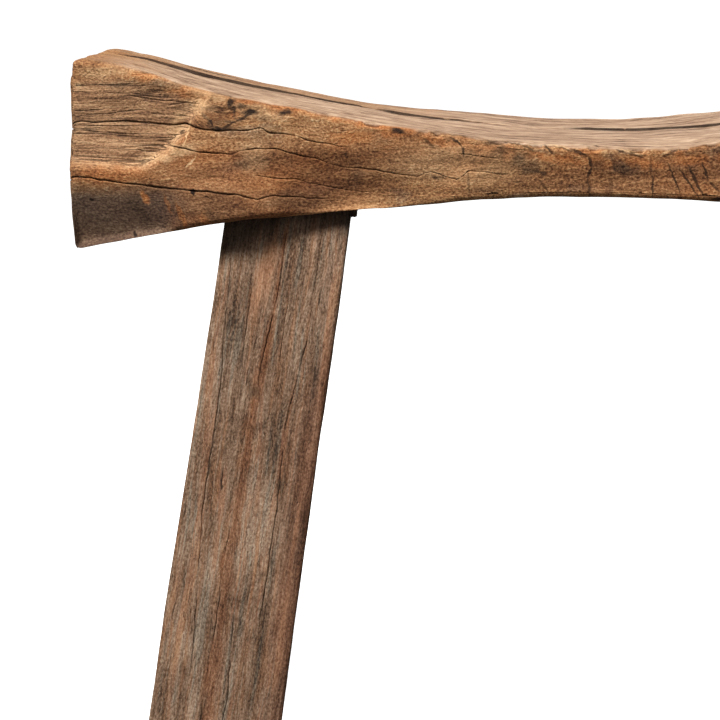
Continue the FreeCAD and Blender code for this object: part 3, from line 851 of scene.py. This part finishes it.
def hewnElm():
    # elm, hewn and then dried for a century: short open fibres, amber where hands rubbed it, bleached on top
    settings = {"Roughness": 0.78, "Specular IOR Level": 0.2, "IOR": 1.45}
    material, shader, add = newMaterial("hewn_elm", settings)
    names = ("weather", "wear", "amber", "pale", "bleach", "endGrain", "grime", "russet", "dark", "crack")
    marks = markNodes(add, names)
    coords = grainCoords(add, 60, 7)
    straight = grainCoords(add, 200, 4)
    fibres = grainNoise(add, coords, 9, 1.2, 4.0, 0.65)
    speck = grainNoise(add, coords, 1.5, 1.2, 3.0, 0.6, 5.0)
    bands = grainNoise(add, coords, 90, 7.0, 3.0, 0.5, 3.0)
    patches = grainNoise(add, coords, 34, 18, 4.0, 0.55, 9.0)
    cloud = grainNoise(add, coords, 70, 30, 3.0, 0.5, 19.0)

    tone = weigh(add, (fibres, 0.45), (speck, 1.25), (bands, 0.45), (cloud, 0.6))
    stops = [(0.12, "#40281a"), (0.34, "#784f31"), (0.5, "#986d47"), (0.66, "#b4885d"), (0.9, "#d6b388")]
    base = add("ValToRGB", {"stops": stops}, {"Fac": tone})
    amberStops = [(0.2, "#5f331a"), (0.5, "#a46538"), (0.8, "#c88f5b")]
    redder = add("MapRange", eased, {"Value": patches, "From Min": 0.54, "From Max": 0.68})
    greyer = add("MapRange", eased, {"Value": patches, "From Min": 0.46, "From Max": 0.34})
    base = layOver(add, base, redder, 0.55, tone, amberStops)
    base = layOver(add, base, greyer, 0.42, tone, [(0.2, "#33281f"), (0.5, "#7b6450"), (0.8, "#ab957b")])
    base = layOver(add, base, marks["russet"], 0.85, tone, [
        (0.14, "#3c200f"), (0.34, "#643b24"), (0.5, "#825233"), (0.7, "#a16c45"), (0.9, "#c29366")])

    # the hollow end was never rubbed: its soft wood has gone and the hard lines stand up brown and grey
    streaks = weigh(add, (grainNoise(add, coords, 45, 1.6, 4.0, 0.6, 51), 1.5), (speck, 0.8), (bands, 0.9))
    base = layOver(add, base, marks["weather"], 0.85, streaks, [
        (0.08, "#3b2a1e"), (0.32, "#7f5d44"), (0.5, "#a77d5a"), (0.75, "#caa17a")])

    # the upper edge, rubbed amber in patches
    rubbed = add("MapRange", eased, {"Value": patches, "From Min": 0.46, "From Max": 0.60})
    worn = add("Math", times, {0: marks["wear"], 1: rubbed})
    base = layOver(add, base, worn, 0.6, tone, amberStops)

    # bleached top: long dry streaks, wide because the seat is looked along and not down on
    dry = weigh(
        add,
        (grainNoise(add, straight, 40, 5, 3.0, 0.6, 21), 0.9),
        (grainNoise(add, straight, 110, 16, 3.0, 0.55, 25), 0.7),
        (grainNoise(add, straight, 70, 2.4, 4.0, 0.65, 33), 1.3),
        (fibres, 0.5),
        (grainNoise(add, straight, 6, 3.5, 3.0, 0.6, 29), 0.5),
    )
    base = layOver(add, base, marks["bleach"], 1.0, dry, [
        (0.1, "#3b291d"), (0.28, "#7b5e48"), (0.5, "#a6866b"), (0.68, "#bb9c80"), (0.9, "#d2b79c")])

    # growth rings, 4.5 mm apart round a pith just below the seat, show only where the grain is cut across
    scale = 0.314 / (4.5 * mm)
    pith = add("Mapping", {}, {
        "Vector": coords, "Location": (0, -0.02 * scale, -0.33 * scale), "Scale": (scale, scale, scale)})
    rings = add("TexWave", {"wave_type": "RINGS", "rings_direction": "X"}, {
        "Vector": pith, "Scale": 1.0, "Distortion": 1.0, "Detail": 2.0, "Detail Scale": 0.5}, "Fac")
    lateWood = add("MapRange", eased, {"Value": rings, "From Min": 0.55, "From Max": 0.95})
    cutAcross = add("Math", times, {0: lateWood, 1: marks["endGrain"]})
    base = layOver(add, base, cutAcross, 0.6, tone, [(0.2, "#41291a"), (0.8, "#543824")])

    # painted shade on the turned-under lower left end, stains and the listed marks
    base = layOver(add, base, marks["grime"], 0.88, tone, [
        (0.2, "#382a23"), (0.5, "#4f3e34"), (0.85, "#73604f")])
    amber = add("Math", largest, {0: marks["amber"], 1: strokes(add, seat["amberStrokes"])})
    # the pale marks are partly painted highlight on the hollow's ridge and brow
    pale = add("Math", largest, {0: marks["pale"], 1: strokes(add, seat["paleAndRidgeLightStrokes"])})
    base = layOver(add, base, amber, 0.95, tone, amberStops)
    base = layOver(add, base, pale, 1.0, tone, [(0.2, "#a98158"), (0.5, "#cba377"), (0.8, "#e0be97")])
    base = layOver(add, base, marks["dark"], 1.0, tone, [(0.3, "#1c130d"), (0.7, "#54402f")])

    # hair checks, dense in the hollow end; the nicks only colour the timber, so that the shader stays small
    fine = add("MapRange", eased, {
        "Value": marks["weather"], "From Min": 0.2, "From Max": 0.8, "To Min": 0.08, "To Max": 0.85})
    dense = add("Math", times, {0: hairChecks(add, coords, 110, 3.0, 0.055, 0.55, 47), 1: fine})
    sparse = hairChecks(add, coords, 36, 4.0, 0.020, 0.32, 31)
    checks = add("Math", largest, {0: sparse, 1: dense})
    broken = add("MapRange", eased, {
        "Value": speck, "From Min": 0.30, "From Max": 0.50, "To Min": 0.45})
    nicks = add("Math", times, {0: strokes(add, seat["nicks"]), 1: broken})
    base = layOver(add, base, nicks, 0.88, tone, [(0.0, "#1a100a"), (1.0, "#2a1c14")])
    checks = add("Math", largest, {0: checks, 1: marks["crack"]})
    finishElm(add, shader, base, tone, checks, "#1a100a")
    return material


def sawnElm():
    # elm legs, sawn flat and left dry: grey-brown, long dark checks, redder heartwood towards one edge
    settings = {"Roughness": 0.84, "Specular IOR Level": 0.18, "IOR": 1.45}
    material, shader, add = newMaterial("weathered_elm", settings)
    marks = markNodes(add, ("heart", "rubbed", "seam", "knot", "shaded", "crack"))
    coords = grainCoords(add, 60, 5)
    fibres = grainNoise(add, coords, 12, 0.95, 4.0, 0.65)
    speck = grainNoise(add, coords, 1.8, 1.0, 3.0, 0.6, 5.0)
    hue = grainNoise(add, coords, 90, 3.5, 3.0, 0.6, 27.0)
    bands = grainNoise(add, coords, 130, 6.0, 3.0, 0.55, 3.0)
    cloud = grainNoise(add, coords, 60, 22, 3.0, 0.5, 19.0)
    tone = weigh(add, (fibres, 0.75), (speck, 1.0), (bands, 0.8), (cloud, 0.6))
    stops = [(0.12, "#37271d"), (0.34, "#69503d"), (0.5, "#876c57"), (0.66, "#a0866f"), (0.9, "#c3ac96")]
    base = add("ValToRGB", {"stops": stops}, {"Fac": tone})
    redder = add("MapRange", eased, {
        "Value": bands, "From Min": 0.53, "From Max": 0.66, "To Max": 0.65})
    brown = add("MapRange", eased, {"Value": hue, "From Min": 0.52, "From Max": 0.62})
    ashen = add("MapRange", eased, {"Value": hue, "From Min": 0.45, "From Max": 0.37})
    for cover, most, stops in (
        (redder, 1.0, [(0.2, "#4a2b1b"), (0.5, "#7f5138"), (0.8, "#a97955")]),
        (brown, 0.55, [(0.2, "#472f1f"), (0.5, "#875c3e"), (0.8, "#af8562")]),
        (ashen, 0.6, [(0.2, "#37312a"), (0.5, "#7a6e5e"), (0.8, "#a89b89")]),
        (marks["heart"], 1.0, [(0.2, "#3f2619"), (0.5, "#6f4833"), (0.8, "#9a7054")]),
        (marks["rubbed"], 0.7, [(0.2, "#8a5d40"), (0.8, "#c49674")]),
        (marks["seam"], 0.62, [(0.2, "#472818"), (0.5, "#7e4c2e"), (0.8, "#a9754f")]),
        (marks["knot"], 0.75, [(0.2, "#1d1611"), (0.8, "#57432f")]),
        # painted shade and painted shadow under the seat
        (marks["shaded"], 0.85, [(0.2, "#1a1410"), (0.8, "#352920")]),
    ):
        base = layOver(add, base, cover, most, tone, stops)
    checks = hairChecks(add, coords, 70, 3.0, 0.014, 0.36, 31)
    fine = add("Math", times, {0: hairChecks(add, coords, 24, 2.0, 0.03, 0.4, 61), 1: 0.5})
    for other in (fine, marks["crack"]):
        checks = add("Math", largest, {0: checks, 1: other})
    finishElm(add, shader, base, tone, checks, "#1d1611")
    return material


def cleftAsh():
    # cleft ash wedges, driven dry: pale, straight grain with darker pore lines
    settings = {"Roughness": 0.7, "Specular IOR Level": 0.25, "IOR": 1.45}
    material, shader, add = newMaterial("cleft_ash", settings)
    place = add("TexCoord", {}, {}, "Object")
    upright = add("Mapping", {}, {"Vector": place, "Rotation": (0, math.radians(90), 0)})
    lines = grainNoise(add, upright, 20, 1.5)
    pores = grainNoise(add, upright, 3, 0.8, 3.0, 0.6, 4.0)
    tone = weigh(add, (lines, 1.6), (pores, 0.8))
    stops = [(0.2, "#8a6a46"), (0.5, "#c4a57a"), (0.8, "#dcc49c")]
    base = add("ValToRGB", {"stops": stops}, {"Fac": tone})
    plug(base, shader, "Base Color")
    bump = add("Bump", {}, {"Height": tone, "Strength": 0.4, "Distance": 0.5 * mm})
    plug(bump, shader, "Normal")
    return material


def whitePaper():
    # matt white background paper, lit until it is clean white
    return newMaterial("white_paper", {
        "Roughness": 0.95, "Specular IOR Level": 0.1, "Base Color": linear("#f4f4f3"),
        "Emission Color": linear("#ffffff"), "Emission Strength": 1.0})[0]


# Stage. Places and sizes here are metres
studio = {"radius": 12.0, "worldLight": 0.13, "aim": (-0.1, 0, 0.4)}
lights = {
    # name: place, size, power in watts
    "key": ((-0.65, -0.98, 2.15), 0.5, 74.0),
    "fill": ((-1.6, -1.9, 0.7), 1.6, 9.0),
    "back": ((1.1, 1.7, 1.1), 1.4, 20.0),
}
view = {"lens": 88.2, "sensor": 36.0, "place": (-0.1376, -1.1256, 0.5526), "lookDown": 13.34}


def makeStage():
    # a white paper floor inside a white dome; neither throws light on the stool, so its shadows stay clear
    paper = whitePaper()
    for name in ("floor", "backdrop"):
        bm = bmesh.new()
        if name == "floor":
            bmesh.ops.create_circle(bm, cap_ends=True, segments=64, radius=studio["radius"])
        else:
            bmesh.ops.create_uvsphere(bm, u_segments=48, v_segments=24, radius=studio["radius"])
            bmesh.ops.reverse_faces(bm, faces=bm.faces[:])
        mesh = bpy.data.meshes.new(name)
        bm.to_mesh(mesh)
        bm.free()
        mesh.materials.append(paper)
        stage = bpy.data.objects.new(name, mesh)
        stage.visible_diffuse = False
        stage.visible_glossy = False
        stage.visible_shadow = False
        bpy.context.scene.collection.objects.link(stage)
    say("floor and backdrop")


def makeLights():
    for name, (place, size, power) in lights.items():
        data = bpy.data.lights.new(name, "AREA")
        data.size = size
        data.energy = power
        lamp = bpy.data.objects.new(name, data)
        lamp.location = place
        aim = Vector(studio["aim"]) - Vector(place)
        lamp.rotation_euler = aim.to_track_quat("-Z", "Y").to_euler()
        bpy.context.scene.collection.objects.link(lamp)
    world = bpy.data.worlds.new("soft_white")
    world.use_nodes = True
    background = world.node_tree.nodes["Background"]
    background.inputs["Color"].default_value = (1, 1, 1, 1)
    background.inputs["Strength"].default_value = studio["worldLight"]
    bpy.context.scene.world = world
    bpy.context.scene.view_settings.view_transform = "Standard"
    say("lights")


def makeCamera():
    data = bpy.data.cameras.new("camera")
    data.lens = view["lens"]
    data.sensor_width = view["sensor"]
    camera = bpy.data.objects.new("camera", data)
    camera.location = view["place"]
    camera.rotation_euler = (math.radians(90 - view["lookDown"]), 0, 0)
    bpy.context.scene.collection.objects.link(camera)
    bpy.context.scene.camera = camera
    say("camera")


def dressWedges():
    # the wedges are hidden in the joints and keep their CAD shapes
    ash = cleftAsh()
    for name in [n for n in bpy.data.objects.keys() if n.endswith("_wedge")]:
        for materialSlot in bpy.data.objects[name].material_slots:
            materialSlot.material = ash


makeCamera()
makeLights()
makeStage()
seatElm = hewnElm()
legElm = sawnElm()
makeSeat().data.materials.append(seatElm)
for piece in (
    makeLeg("front_leg", -1, -1, leg["frontChecks"], 1),
    makeLeg("rear_leg", -1, 1, drawnChecks(12, leg["hiddenChecks"], leg["drawnLength"]), 2),
    makeLeg("single_leg", 1, 0, drawnChecks(13, leg["hiddenChecks"], leg["drawnLength"]), 3),
    makeSliver(),
):
    piece.data.materials.append(legElm)
dressWedges()
